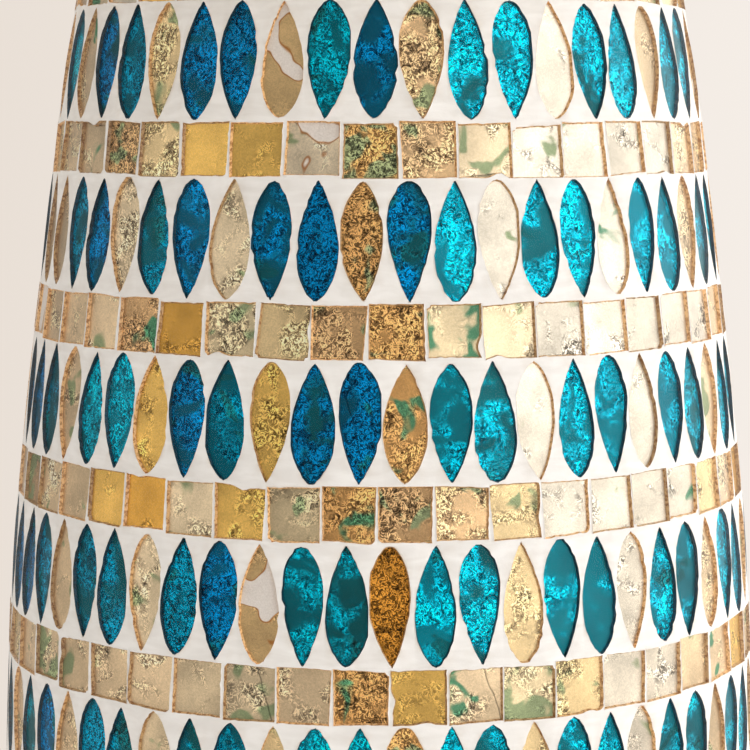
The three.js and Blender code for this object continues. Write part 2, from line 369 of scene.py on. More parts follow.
antiqueBrass = makeMaterial("antiqueBrass", metalLook, (196, 152, 84), (74, 52, 26), 0.26, 0.75)
brightBrass = makeMaterial("brightBrass", metalLook, (222, 182, 104), (150, 112, 52), 0.16, 0.35)
zincSteel = makeMaterial("zincSteel", metalLook, (190, 192, 194), (120, 122, 124), 0.28, 0.5)
castIron = makeMaterial("castIron", mouldedLook, (58, 58, 60), 0.75, 500.0)
blackPhenolic = makeMaterial("blackPhenolic", mouldedLook, (34, 31, 29), 0.42, 1400.0)
waxedCard = makeMaterial("waxedCard", mouldedLook, (150, 122, 84), 0.8, 700.0)
whitePlastic = makeMaterial("whitePlastic", mouldedLook, (236, 234, 228), 0.35, 1600.0, 0.2)
brownFelt = makeMaterial("brownFelt", mouldedLook, (66, 46, 36), 0.98, 2200.0)


def vesselGlassLook(place):
    ripple = noiseNode(place, 30.0)
    return {
        "Base Color": mixColour(ripple, rgba((214, 230, 226)), rgba((226, 236, 232))),
        "Roughness": 0.05,
        "Transmission Weight": 1.0,
        "Normal": bumpNode(ripple, 0.0004, 0.3),
    }


vesselGlass = makeMaterial("vesselGlass", vesselGlassLook)
print("plain finishes made")

bodyShape = {
    # radius and height of the mosaic's outer face, from the foot to the neck
    "outline": [
        (56, 36), (80, 64), (95, 100), (101.6, 142), (101.2, 182), (98.8, 222), (94.5, 263),
        (89.1, 305), (83.4, 347), (75.5, 384), (62, 413), (45, 431), (29, 440),
    ],
    "leafCourse": 28.8,  # measured along the outline, joints included
    "squareCourse": 13.7,
    "leafMiddleHeight": 305.0,
    "coursesBelow": 7,
    "coursesAbove": 3,
}


def splineCurve(points, steps=160):
    # Through the points, in cubics whose end slopes are half the chord between the neighbours.
    points = np.asarray(points, float)
    before = np.concatenate([points[:1], points[:-1]])
    after = np.concatenate([points[1:], points[-1:]])
    slope = 0.5 * (after - before)
    t = np.linspace(0.0, 1.0, steps, endpoint=False)[:, None]
    start, end = points[:-1, None], points[1:, None]
    slopeA, slopeB = slope[:-1, None], slope[1:, None]
    curve = (2 * t**3 - 3 * t**2 + 1) * start + (t**3 - 2 * t**2 + t) * slopeA
    curve = curve + (3 * t**2 - 2 * t**3) * end + (t**3 - t**2) * slopeB
    return np.concatenate([curve.reshape(-1, points.shape[1]), points[-1:]])


def along(curve):
    # Distance from the curve's start to each of its points.
    steps = np.linalg.norm(np.diff(curve, axis=0), axis=1)
    return np.concatenate([[0.0], np.cumsum(steps)])


outline = splineCurve(bodyShape["outline"])
outlineDistance = along(outline)
outlineLength = outlineDistance[-1]
outlineSlope = np.gradient(outline, outlineDistance, axis=0)


def radiusAt(distance):
    return np.interp(distance, outlineDistance, outline[:, 0])


def onBody(distance, turn, aside=0.0, depth=0.0):
    # The point at a distance along the outline and a turn round the axis, moved aside along the
    # level tangent and inwards along the normal.
    radius = radiusAt(distance)
    height = np.interp(distance, outlineDistance, outline[:, 1])
    slopeR = np.interp(distance, outlineDistance, outlineSlope[:, 0])
    slopeZ = np.interp(distance, outlineDistance, outlineSlope[:, 1])
    radius, height = radius - slopeZ * depth, height + slopeR * depth
    x = radius * np.sin(turn) + aside * np.cos(turn)
    y = -radius * np.cos(turn) + aside * np.sin(turn)
    return np.stack(np.broadcast_arrays(x, y, height), -1)


def layOutCourses():
    # From the foot to the neck, each course of leaves with a course of squares over it.
    middle = np.interp(bodyShape["leafMiddleHeight"], outline[:, 1], outlineDistance)
    pitch = bodyShape["leafCourse"] + bodyShape["squareCourse"]
    courses, count = [], {"leaf": 0, "square": 0}
    for k in range(-bodyShape["coursesBelow"], bodyShape["coursesAbove"] + 1):
        start = middle + k * pitch - bodyShape["leafCourse"] / 2
        joints = (start, start + bodyShape["leafCourse"], start + pitch)
        for kind, low, high in (("leaf", *joints[:2]), ("square", *joints[1:])):
            low, high = max(low, 0.0), min(high, outlineLength)
            if high - low > 4:
                count[kind] += 1
                node = f"{kind}_course_{count[kind]:02d}"
                courses.append({"kind": kind, "low": low, "high": high, "node": node,
                                "middle": (low + high) / 2})
    return courses


courses = layOutCourses()

# start and step are the turn of the first tessera seen from the front and the turn to the next,
# in degrees. tones names the gold tesserae from that one on; the rest are drawn by lot. firstGold
# is the place of the first gold leaf, and turnsOver that of a leaf which breaks the alternation.
# The c tesserae on the right of the front are a pale, smooth copy of the gold: painted highlight where
# the key light reflects.
courseNotes = {
    "leaf_course_08": {"count": 47, "start": -69.26, "step": 7.593, "tones": "tgmsct", "firstGold": 1,
                       "firstUp": False},
    "leaf_course_07": {"count": 52, "start": -65.09, "step": 6.939, "tones": "tppbcctt", "turnsOver": 10},
    "leaf_course_06": {"count": 55, "start": -61.61, "step": 6.507, "tones": "tyybcct", "firstGold": 1},
    "leaf_course_05": {"count": 59, "start": -65.49, "step": 6.087, "tones": "tpmdgct", "firstGold": 2},
    "leaf_course_04": {"count": 60, "start": -62.2, "step": 5.95, "tones": "tpgbgct", "firstGold": 2},
    "square_course_08": {"count": 40, "start": -64.98, "step": 9.04, "tones": "ttngyywbspcccct"},
    "square_course_07": {"count": 43, "start": -64.77, "step": 8.397, "tones": "tttnoegnbepccccct"},
    "square_course_06": {"count": 46, "start": -59.2, "step": 7.835, "tones": "ttyopyebnsgccccgt"},
    "square_course_05": {"count": 47, "start": -64.2, "step": 7.698, "tones": "tttttpptbytegcctt"},
}
tesserae = {
    "leafPitch": 10.75,  # from leaf to leaf round the body, where a course has no notes
    "squarePitch": 13.4,
    "leafFill": 0.985,  # a leaf's width as a share of its cell's
    "leafLength": 28.5,
    "leafHalfPoints": 26,  # stretches of the edge from end to end on each side
    "squareWidth": 13.05,
    "squareLength": 13.0,
    "squareSidePoints": 13,
    "joint": 0.11,  # least grout between a tessera and the edge of its cell
    "depth": 0.85,  # from the face down to the foil
    "settled": 0.07,  # how far the middle of a face lies under the grout
    "foilInset": 0.3,
    "seed": 41,
}
# Colour on the chart, crumpling, patina and missing foil of each gold foil, by letter.
goldFoils = {
    "t": ((222, 198, 162), 0.35, 0.40, 0.0),
    "p": ((216, 196, 162), 0.32, 0.46, 0.0),
    "g": ((222, 196, 148), 0.42, 0.35, 0.0),
    "y": ((226, 184, 100), 0.30, 0.15, 0.0),
    "o": ((208, 158, 74), 0.35, 0.20, 0.0),
    "b": ((206, 158, 98), 0.80, 0.56, 0.0),
    "d": ((174, 120, 46), 0.80, 0.15, 0.0),
    "n": ((192, 156, 112), 0.60, 0.70, 0.0),
    "e": ((214, 194, 156), 0.38, 0.52, 0.0),
    "s": ((222, 186, 140), 0.78, 0.42, 0.0),
    # c is a lit copy of the gold: painted highlight, set on the right of the front.
    "c": ((214, 204, 186), 0.22, 0.28, 0.0),
    "m": ((226, 192, 138), 0.30, 0.20, 0.50),
    "w": ((226, 208, 178), 0.22, 0.45, 0.62),
}
tealFoils = {
    "u": ((0, 118, 172), 0.70, 0.48, 0.0),
    "v": ((0, 136, 168), 0.58, 0.50, 0.0),
    # k is a lit copy of the teal: painted reflection of the key light, set on the right of the front.
    "k": ((0, 178, 206), 0.52, 0.40, 0.0),  # nearer cyan
}
print(f"{len(courses)} courses laid out")

foilTraits = {
    "creaseScale": 720.0,  # creases per metre
    "creaseHeight": 0.055,  # millimetres
    "zoneScale": 130.0,
    "patinaScale": 120.0,
    "roughness": 0.38,
}


def lineNoise(where, scale, sharpness, detail=2.0, distortion=0.0):
    # Winding lines, 1 where a noise passes through its middle value and 0 away from there.
    value = noiseNode(where, scale, detail, distortion)
    return minus(1.0, times(mathNode("ABSOLUTE", minus(value, 0.5)), sharpness), True)


def straightLines(where):
    # Long thin lines where the sine of a slanting distance, shaken a little, passes through 0.
    apart = splitUp(where)
    slant = plus(times(apart[0], 71.0), times(apart[2], 19.0))
    slant = plus(slant, times(noiseNode(where, 90.0), 0.25))
    return minus(1.0, times(mathNode("ABSOLUTE", mathNode("SINE", slant)), 45.0), True)


def foilLook(place):
    # Crumpled leaf metal behind coloured glass: creases in some zones, with painted highlights on their
    # crests and painted shade between them, in the pits and along the fold lines; patina clouds with soft
    # edges, and here and there a torn-off piece with a rusty border.
    crumple, patina, missing = splitUp(attributeNode(place, "trait", "Vector"))
    shift = attributeNode(place, "shift", "Vector")
    place = addNode(treeOf(place), "ShaderNodeVectorMath", {0: place, 1: shift}).outputs[0]

    creases = lineNoise(place, foilTraits["creaseScale"], 10.0, 1.5, 1.8)
    pits = rampUp(noiseNode(place, 0.6 * foilTraits["creaseScale"], 1.0, 1.5), 0.52, 0.64)
    foldsWithShade = times(straightLines(place), rampUp(noiseNode(place, 30.0, 1.0), 0.56, 0.62))
    grain = noiseNode(place, 2600.0)
    zone = noiseNode(place, foilTraits["zoneScale"], 2.0, 0.7)
    creased = rampUp(minus(zone, mixNumber(crumple, 0.66, 0.26)), -0.05, 0.16)

    # The alpha of tint is the brightness of the smooth foil, and that of patina its share there.
    smoothTone = attributeNode(place, "tint", "Alpha")
    smoothPatina = attributeNode(place, "patina", "Alpha")
    cloud = noiseNode(place, foilTraits["patinaScale"], 2.0, 0.5)
    clouded = times(rampUp(minus(cloud, mixNumber(patina, 0.80, 0.40)), -0.02, 0.06), 0.9)
    clouded = mathNode("MAXIMUM", clouded, times(minus(1.0, creased), smoothPatina))

    # Painted highlight on the crease crests and painted shade between them and in the pits; on smooth
    # foil the creases get only a faint painted highlight and shade.
    creaseHighlightAndShade = times(mixNumber(creases, 0.29, 2.0), mixNumber(pits, 1.15, 0.34))
    faintCreaseHighlight = times(smoothTone, mixNumber(creases, 0.92, 1.08))
    tone = plus(mixNumber(creased, faintCreaseHighlight, creaseHighlightAndShade), times(minus(grain, 0.5), 0.3))
    tone = times(tone, mixNumber(noiseNode(place, 90.0), 0.45, 1.55))
    # Painted shade along the fold lines, which are also bumped in as grooves.
    tone = times(tone, mixNumber(foldsWithShade, 1.0, 0.35))
    inputs = {0: tone, 1: tone, 2: tone}
    paintedLightAndTone = addNode(treeOf(place), "ShaderNodeCombineColor", inputs).outputs[0]
    foil = mixColour(clouded, attributeNode(place, "tint"), attributeNode(place, "patina"))
    foil = mixColour(1.0, foil, paintedLightAndTone, "MULTIPLY")

    tear = minus(noiseNode(place, 62.0, 2.0, 0.3), mixNumber(missing, 0.86, 0.26))
    torn = rampUp(tear, 0.0, 0.012)
    border = minus(rampUp(tear, -0.012, 0.0), torn)
    foil = mixColour(times(border, 0.8), foil, rgba((168, 98, 28)))
    bare = mixColour(grain, rgba((206, 198, 190)), rgba((240, 234, 228)))
    rough = plus(plus(times(clouded, 0.15), foilTraits["roughness"]), times(torn, 0.4))
    height = plus(times(minus(creases, pits), creased), times(foldsWithShade, -0.7))
    return {
        "Base Color": mixColour(torn, foil, bare),
        "Metallic": times(minus(1.0, torn), mixNumber(clouded, 0.95, 0.75)),
        "Roughness": rough,
        "Normal": bumpNode(plus(height, times(grain, 0.03)), foilTraits["creaseHeight"] * mm),
    }


def glassEdgeLook(place):
    # The sawn and chipped sides of a tessera, seen through its face.
    streaks = noiseNode(place, 1300.0, 3.0, 0.5)
    rim = attributeNode(place, "rim")
    deep = mixColour(1.0, rim, (0.46, 0.33, 0.22, 1.0), "MULTIPLY")
    return {
        "Base Color": mixColour(rampUp(streaks, 0.36, 0.58), deep, rim),
        "Roughness": 0.3,
        "Normal": bumpNode(streaks, 0.0002, 0.7),
    }


def glassFaceFinish():
    # The clear face of a tessera: what lies behind shows through, and only the gloss is added.
    material, tree, shader = newMaterial("glassFace")
    tree.nodes.remove(shader)
    normal = bumpNode(noiseNode(objectPlace(tree), 150.0), 0.00008, 0.5)
    share = addNode(tree, "ShaderNodeFresnel", {"IOR": 1.5, "Normal": normal}).outputs[0]
    clear = addNode(tree, "ShaderNodeBsdfTransparent")
    gloss = addNode(tree, "ShaderNodeBsdfAnisotropic", {"Roughness": 0.06, "Normal": normal})
    mixed = mixShaders(times(share, 0.14), clear, gloss)  # its surface is etched and dusty
    setInputs(tree.nodes["Material Output"], {"Surface": mixed.outputs[0]})
    return material


def groutLook(place):
    # White sanded grout, wiped smooth, a little soiled beside the glass.
    wipe = noiseNode(stretched(place, (90.0, 90.0, 340.0)), 1.0, 3.0, 0.6)
    clean = mixColour(rampUp(wipe, 0.3, 0.75), rgba((230, 227, 223)), rgba((241, 239, 236)))
    soil = times(attributeNode(place, "seam", "Fac"), 0.45)
    soil = times(soil, rampUp(noiseNode(place, 260.0), 0.42, 0.7))
    height = plus(times(noiseNode(place, 2100.0, 3.0), 0.35), wipe)
    return {
        "Base Color": mixColour(soil, clean, rgba((188, 164, 134))),
        "Roughness": 0.82,
        "Normal": bumpNode(height, 0.00012, 0.55),
    }


foil = makeMaterial("crumpledFoil", foilLook)
glassEdge = makeMaterial("glassEdge", glassEdgeLook)
glassFace = glassFaceFinish()
grout = makeMaterial("grout", groutLook)

# Each edge is a closed run of points about the middle of its cell: u along the course and s up
# the outline, counted from the lower end and anticlockwise seen from outside.


def leafShares():
    # Shares of a leaf's length, closer together towards its ends.
    half = tesserae["leafHalfPoints"]
    return (1 - np.cos(np.pi * np.arange(half + 1) / half)) / 2


def leafEdges(up, cellWidth, lot):
    # Half the width is the sine of a power of the share of the length, which makes one end blunt
    # and the other pointed; every leaf has its own width, length, bend and chips.
    count, share = len(up), leafShares()
    t = np.where(up[:, None], share, 1 - share)
    power = 0.79 + lot.normal(0, 0.04, (count, 1))
    breadth = np.sin(np.pi * np.clip(t, 0, 1) ** power) ** 0.79
    width = cellWidth * (tesserae["leafFill"] + lot.normal(0, 0.03, (count, 1)))
    length = tesserae["leafLength"] * (1 - np.abs(lot.normal(0, 0.015, (count, 1))))
    bend = lot.normal(0, 0.28, (count, 1)) * np.sin(np.pi * share)
    s = (share - 0.5) * length
    sides = []
    for sign in (1, -1):
        chips = np.abs(lot.normal(0, 0.11, s.shape)) + (lot.random(s.shape) < 0.08) * 0.4
        side = width / 2 * (1 + lot.normal(0, 0.03, (count, 1))) * breadth
        sides.append(bend + sign * np.maximum(side - chips * breadth, 0.04 * side))
    u = np.concatenate([sides[0], sides[1][:, -2:0:-1]], 1)
    s = s + lot.normal(0, 0.1, s.shape)
    s = np.concatenate([s, s[:, -2:0:-1]], 1)
    ends = [0, len(share) - 1]
    u[:, ends] = bend[:, ends] + lot.normal(0, 0.25, (count, 2))
    return u, s


def squareEdges(count, lot):
    # Four straight sides between shaken corners, with some corners nipped off and some bites.
    side = tesserae["squareSidePoints"]
    cornerU = np.array([-1, 1, 1, -1]) * tesserae["squareWidth"] / 2
    cornerS = np.array([-1, -1, 1, 1]) * tesserae["squareLength"] / 2
    cornerU = cornerU + lot.normal(0, 0.24, (count, 4))
    cornerS = cornerS + lot.normal(0, 0.24, (count, 4))
    share = np.arange(side) / side
    u = cornerU[:, :, None] * (1 - share) + np.roll(cornerU, -1, 1)[:, :, None] * share
    s = cornerS[:, :, None] * (1 - share) + np.roll(cornerS, -1, 1)[:, :, None] * share
    bitten = (lot.random((count, 4, 1)) < 0.05) * lot.uniform(0.5, 1.2, (count, 4, 1))
    place = lot.uniform(0.2, 0.8, (count, 4, 1))
    inward = bitten * np.exp(-(((share - place) / 0.13) ** 2))
    inward = inward + np.abs(lot.normal(0, 0.10, u.shape))
    nipped = (lot.random((count, 4)) < 0.16) * lot.uniform(0.05, 0.13, (count, 4))
    inward[:, :, 0] = 0.0
    u = u + inward * np.array([0, -1, 0, 1])[None, :, None]
    s = s + inward * np.array([1, 0, -1, 0])[None, :, None]
    u[:, :, 0] *= 1 - nipped
    s[:, :, 0] *= 1 - nipped
    return u.reshape(count, -1), s.reshape(count, -1)


def leafCell():
    # The cell's edge for each point of a leaf's edge: across from -1 to 1 and up from 0 to 1.
    share = leafShares()
    up = np.clip((share - share[2]) / (share[-3] - share[2]), 0, 1)
    order = np.arange(len(share))
    across = np.clip(np.minimum(order, order[::-1]) / 2, 0, 1)
    return np.concatenate([across, -across[-2:0:-1]]), np.concatenate([up, up[-2:0:-1]])


def squareCell():
    share = np.arange(tesserae["squareSidePoints"]) / tesserae["squareSidePoints"]
    across = np.concatenate([2 * share - 1, 1 + 0 * share, 1 - 2 * share, -1 + 0 * share])
    up = np.concatenate([0 * share, share, 1 + 0 * share, 1 - share])
    return across, up


def tesseraFaces(around, corner):
    # One tessera: a ladder of strips over its face and over its foil, and a wall between them.
    # Its face's points come first, then as many under them. corner is the lower right one.
    right = np.arange(corner + 1, around // 2)
    left = around - (right - corner)
    ladder = [[*range(left[0], around), *range(0, right[0] + 1)]]
    ladder += [[left[i], right[i], right[i + 1], left[i + 1]] for i in range(len(right) - 1)]
    ladder += [[*range(right[-1], left[-1] + 1)]]
    under = [[point + around for point in reversed(face)] for face in ladder]
    wall = [[j, j + around, (j + 1) % around + around, (j + 1) % around] for j in range(around)]
    faces = ladder + under + wall
    material = [0] * len(ladder) + [1] * len(ladder) + [2] * around
    corners = [point for face in faces for point in face]
    return np.array(corners), np.array([len(face) for face in faces]), np.array(material)


def courseTurns(course, notes, lot):
    # The turns of the joints between cells: even steps in front, the rest shared out behind.
    pitch = tesserae[course["kind"] + "Pitch"]
    count = notes.get("count", round(2 * math.pi * radiusAt(course["middle"]) / pitch))
    step = notes.get("step", 360 / count)
    start = notes.get("start", lot.uniform(0, step)) - step / 2
    front = min(round(140 / step), count - 1)
    rear = (360 - front * step) / (count - front)
    return np.radians(start + np.concatenate([[0], np.cumsum([step] * front + [rear] * (count - front))]))


def courseFoils(course, notes, turns, lot):
    # The foil letter of each tessera: two teal leaves to each gold one, squares all gold. The brighter
    # cyan copy of the teal, k, is set mostly on the right of the front as painted reflection of the key
    # light.
    count, order = len(turns), np.arange(len(turns))
    keyReflectionShare = np.where(np.abs(turns - 42) < 42, np.clip(turns / 12, 0, 1), 0.25)
    isGold = (course["kind"] == "square") | (order % 3 == notes.get("firstGold", 0))
    letters = list(lot.choice(list("ttppgyobnescm"), count))
    for place, letter in zip(order[isGold], notes.get("tones", "")):
        letters[place] = letter
    teal = np.where(lot.random(count) < keyReflectionShare, "k", np.where(lot.random(count) < 0.55, "u", "v"))
    return [letters[i] if isGold[i] else str(teal[i]) for i in order]


def tesseraLooks(foils, lot):
    # Colours and traits of each tessera from its letter, every one a little different.
    known = {**goldFoils, **tealFoils}
    count, teal = len(foils), np.isin(foils, list(tealFoils))[:, None]
    tint = np.array([linear(known[letter][0]) for letter in foils])
    tint = tint * lot.uniform(0.86, 1.1, (count, 1))
    traits = np.array([known[letter][1:] for letter in foils])
    traits[:, :2] = np.clip(traits[:, :2] + lot.normal(0, 0.1, (count, 2)), 0, 1)
    sage, emerald = linear((138, 156, 116)), linear((46, 134, 100))
    green = np.where(lot.random((count, 1)) < 0.22, emerald, sage)
    patina = np.where(teal, linear((0, 112, 116)), green)
    rim = np.where(teal, linear((4, 66, 88)), linear((234, 192, 138)))
    rim = rim * lot.uniform(0.6, 1.25, (count, 1))
    return {
        "tint": np.hstack([tint, np.where(teal, 0.5, 0.92)]),
        "patina": np.hstack([patina, np.where(teal, lot.uniform(0.3, 0.9, (count, 1)), 0.0)]),
        "rim": np.hstack([rim, np.ones((count, 1))]),
        "trait": traits,
        "shift": lot.uniform(-4, 4, (count, 3)),
    }


groutRings = {"points": [], "faces": [], "seam": []}


def addRings(points, quads, seam):
    # Puts aside a part of the grout, its faces counted on from the last part's points.
    first = sum(len(part) for part in groutRings["points"])
    for name, part in (("points", points.reshape(-1, 3)), ("faces", quads + first), ("seam", seam)):
        groutRings[name].append(part)


def makeCourse(course, lot):
    notes = courseNotes.get(course["node"], {})
    joints = courseTurns(course, notes, lot)
    turn, halfTurn = (joints[1:] + joints[:-1])[:, None] / 2, np.diff(joints)[:, None] / 2
    count, middle, isLeaf = len(turn), course["middle"], course["kind"] == "leaf"
    if isLeaf:
        up = (np.arange(count) % 2 == 0) == notes.get("firstUp", True)
        up = up ^ (np.arange(count) >= notes.get("turnsOver", count))
        u, s = leafEdges(up, 2 * radiusAt(middle) * halfTurn, lot)
        across, rise = leafCell()
    else:
        u, s = squareEdges(count, lot)
        across, rise = squareCell()
    around = u.shape[1]

    # Each tessera is shaken a little, then kept inside its cell.
    lean = lot.normal(0, 0.018, (count, 1))
    u, s = u - lean * s, s + lean * u
    u, s = u + lot.normal(0, 0.1, (count, 1)), s + lot.normal(0, 0.12 if isLeaf else 0.22, (count, 1))
    room = (course["high"] - course["low"]) / 2 - tesserae["joint"]
    s = np.clip(s, -room, room)
    side = radiusAt(middle + s) * halfTurn - tesserae["joint"]
    u = np.clip(u, -side, side)

    tilt = lot.normal(0, 0.007, (2, count, 1))
    level = tesserae["settled"] + tilt[0] * u + tilt[1] * s
    face = onBody(middle + s, turn, u, level)
    inU, inS = tesserae["foilInset"] / 5.2, tesserae["foilInset"] / (s.max() - s.min()) * 2
    under = onBody(middle + s * (1 - inS), turn, u * (1 - inU), level + tesserae["depth"])
    points = np.concatenate([face, under], 1)

    corner = 0 if isLeaf else tesserae["squareSidePoints"]
    corners, sizes, material = tesseraFaces(around, corner)
    corners = corners + 2 * around * np.arange(count)[:, None]
    piece = meshObject(
        course["node"].replace("course", "tesserae"), points, corners, [glassFace, foil, glassEdge],
        np.tile(sizes, count), np.tile(material, count), smooth=False,
    )
    looks = tesseraLooks(courseFoils(course, notes, np.degrees(turn[:, 0]), lot), lot)
    for name, values in looks.items():
        addAttribute(piece, name, np.repeat(values, 2 * around, 0))
    settle(piece, "root", "mosaic" if isLeaf else "gold_mosaic", course["node"])

    # The grout of a cell is three rings: at the glass, just off it, and round the cell's edge.
    cellTurn = across * halfTurn
    cellS = course["low"] + rise * (course["high"] - course["low"]) - middle
    glassTurn = u / radiusAt(middle + s)
    reach = np.hypot((cellTurn - glassTurn) * radiusAt(middle + s), cellS - s)
    share = np.minimum(0.5, 0.5 / np.maximum(reach, 1e-3))
    nearTurn = glassTurn + (cellTurn - glassTurn) * share
    nearS = s + (cellS - s) * share
    near = onBody(middle + nearS, turn + nearTurn, 0.0, 0.03)
    edge = onBody(middle + cellS, turn + cellTurn, 0.0, 0.05)
    rings = np.stack([face, near, edge], 1)
    quads = gridFaces(3, around, closeColumns=True) + 3 * around * np.arange(count)[:, None, None]
    addRings(rings, quads.reshape(-1, 4), np.tile(np.repeat([1.0, 0.3, 0.0], around), count))


def makeGrout():
    # The grout's end faces turn in under the foot ring and the neck cap.
    turns = fullTurn(160)
    quads = gridFaces(2, len(turns), closeColumns=True)
    for distance, faces in ((0.0, quads), (outlineLength, quads[:, ::-1])):
        lip = np.stack([onBody(distance, turns, 0.0, depth) for depth in (0.05, 4.0)])
        addRings(lip, faces, np.zeros(2 * len(turns)))
    points, faces, seam = (np.concatenate(groutRings[part]) for part in ("points", "faces", "seam"))
    piece = meshObject("grout_joints", points, faces, [grout])
    addAttribute(piece, "seam", seam[:, None] * [1, 1, 1])
    settle(piece, "root", "grout", "grout_bed")


for number, course in enumerate(courses):
    makeCourse(course, np.random.default_rng(tesserae["seed"] + number))
makeGrout()
print("mosaic made")


def rounded(points, radius, steps=5, closed=True):
    # Each corner is cut by a parabola whose two legs are as long as radius, or as 0.45 of the
    # shorter side beside it.
    points = np.asarray(points, float)
    toBefore, toAfter = np.roll(points, 1, 0) - points, np.roll(points, -1, 0) - points
    before = np.linalg.norm(toBefore, axis=1)[:, None]
    after = np.linalg.norm(toAfter, axis=1)[:, None]
    leg = np.minimum(radius, 0.45 * np.minimum(before, after))
    start, end = points + toBefore / before * leg, points + toAfter / after * leg
    t = np.linspace(0, 1, steps)[None, :, None]
    curve = (1 - t) ** 2 * start[:, None] + 2 * t * (1 - t) * points[:, None] + t**2 * end[:, None]
    if not closed:
        curve[[0, -1]] = points[[0, -1], None]
    return curve.reshape(-1, 2)


def lathe(name, profile, finish, radius=0.4, closed=True, around=96, axis="Z", centre=(0, 0, 0)):
    # Turns a run of (radius, height) points round an axis: each ring is radius times the sine
    # and cosine of the turn. Faces are turned outwards by the sign of the profile's area.
    if radius:
        profile = rounded(profile, radius, closed=closed)
    r, z = np.asarray(profile, float)[:, :1], np.asarray(profile, float)[:, 1:]
    x, y, z = np.moveaxis(roundAxis(r, fullTurn(around), z), -1, 0)
    points = np.stack({"Z": (x, y, z), "Y": (x, z, -y), "X": (z, y, -x)}[axis], -1)
    quads = gridFaces(len(profile), around, closed, True)
    height = z[:, :1]
    if (r * np.roll(height, -1) - np.roll(r, -1) * height).sum() > 0:
        quads = quads[:, ::-1]
    return closePoles(meshObject(name, points.reshape(-1, 3) + centre, quads, [finish]))


def swept(name, path, section, side, finish, soften=0.15):
    # Carries a cross-section along a path. side is square to the whole path; the section's first
    # number runs along it. Both ends are closed, with the last share, soften, drawn in.
    path, side, section = np.asarray(path, float), np.asarray(side, float), np.asarray(section, float)
    tangent = np.gradient(path, axis=0)
    tangent /= np.linalg.norm(tangent, axis=1)[:, None]
    reach = soften * np.linalg.norm(section, axis=1).min()
    ends = [0, 0, 0, *range(1, len(path) - 1), -1, -1, -1]
    path, tangent = path[ends], tangent[ends]
    path[2] += tangent[2] * reach
    path[-3] -= tangent[-3] * reach
    scale = np.ones(len(path))
    scale[[0, -1]], scale[[1, -2]] = 0.0, 1 - soften
    across = np.cross(side, tangent)
    offset = section[None, :, :1] * side + section[None, :, 1:] * across[:, None]
    points = path[:, None] + scale[:, None, None] * offset
    return closePoles(meshObject(name, points, gridFaces(len(path), len(section), False, True), [finish]))


def rod(name, path, radius, side, finish, sides=24):
    turns = fullTurn(sides)
    return swept(name, path, radius * np.stack([np.cos(turns), np.sin(turns)], 1), side, finish)


def drill(piece, start, end, radius):
    # A round hole through the piece from start to end.
    level = np.cross(np.subtract(end, start), (0.0, 0.0, 1.0))
    side = level / np.linalg.norm(level) if np.any(level) else np.array([1.0, 0.0, 0.0])
    bit = rod("drill", np.linspace(start, end, 12), radius, side, None, 48)
    hole = piece.modifiers.new("hole", "BOOLEAN")
    hole.object, hole.operation = bit, "DIFFERENCE"
    graph = bpy.context.evaluated_depsgraph_get()
    drilled = bpy.data.meshes.new_from_object(piece.evaluated_get(graph))
    piece.modifiers.clear()
    piece.data = drilled
    bpy.data.objects.remove(bit)
    drilled.set_sharp_from_angle(angle=sharpAngle)


def dress(finish, *nodes):
    # Gives CAD parts that are kept as they are a finish of their own.
    for node in nodes:
        for place in bpy.data.objects[node].material_slots:
            place.link = "OBJECT"
            place.material = finish


# The foot: a spun brass shell with a cord inlet at the back, weighted inside.
foot = {
    "shell": [
        (78, 2.3), (78, 8), (74, 12), (66, 17), (62, 24), (62, 30), (5.1, 30), (5.1, 26),
        (58, 26), (59, 18), (71.5, 11), (74.5, 8), (74.5, 2.3),
    ],
    "shellSoftness": 2.6,
    "collar": [(60, 30.3), (60, 32), (57, 35.4), (30, 35.4), (30, 30.3)],
    "inletHeight": 9.3,
    "inletRadius": 5.5,
    "bushing": [
        (3.8, 66.2), (3.8, 80.4), (6.8, 80.4), (6.8, 78.4), (5.2, 78.4), (5.2, 66.2),
    ],
    "pad": [(16, 0), (75, 0), (75, 2), (16, 2)],
}


def makeFoot():
    inlet = (0.0, 0.0, foot["inletHeight"])
    shell = lathe("foot_spinning", foot["shell"], antiqueBrass, foot["shellSoftness"], around=160)
    drill(shell, np.add(inlet, (0, 66, 0)), np.add(inlet, (0, 84, 0)), foot["inletRadius"])
    settle(shell, "root", "antique_brass", "foot_shell")
    collar = lathe("foot_ring", foot["collar"], brightBrass, 0.8, around=128)
    settle(collar, "root", "bright_brass", "foot_collar")
    bushing = lathe("inlet_bushing", foot["bushing"], blackPhenolic, 0.7, True, 48, "Y", inlet)
    settle(bushing, "root", "phenolic", "cord_inlet_bushing")
    settle(lathe("felt_disc", foot["pad"], brownFelt, around=128), "root", "felt", "felt_pad")


makeFoot()
print("foot made")

# The neck: a brass cap over the mosaic and a turned spacer that carries the harp.
neck = {
    "cap": [
        (36, 438.2), (36, 441), (30, 445.5), (18, 449), (14, 452), (5.1, 452), (5.1, 448),
        (16, 445.5), (31, 440.6),
    ],
    "spacer": [
        (12, 452.3), (13.5, 454), (9, 456.5), (13, 459.5), (14.5, 463), (13, 466.5), (9, 469.5),
        (12.5, 472), (12.5, 474), (5.1, 474), (5.1, 452.3),
    ],
}
settle(lathe("neck_cup", neck["cap"], antiqueBrass, 1.6), "root", "antique_brass", "neck_cap")
settle(lathe("neck_turning", neck["spacer"], brightBrass, 1.8), "root", "bright_brass", "neck_spacer")

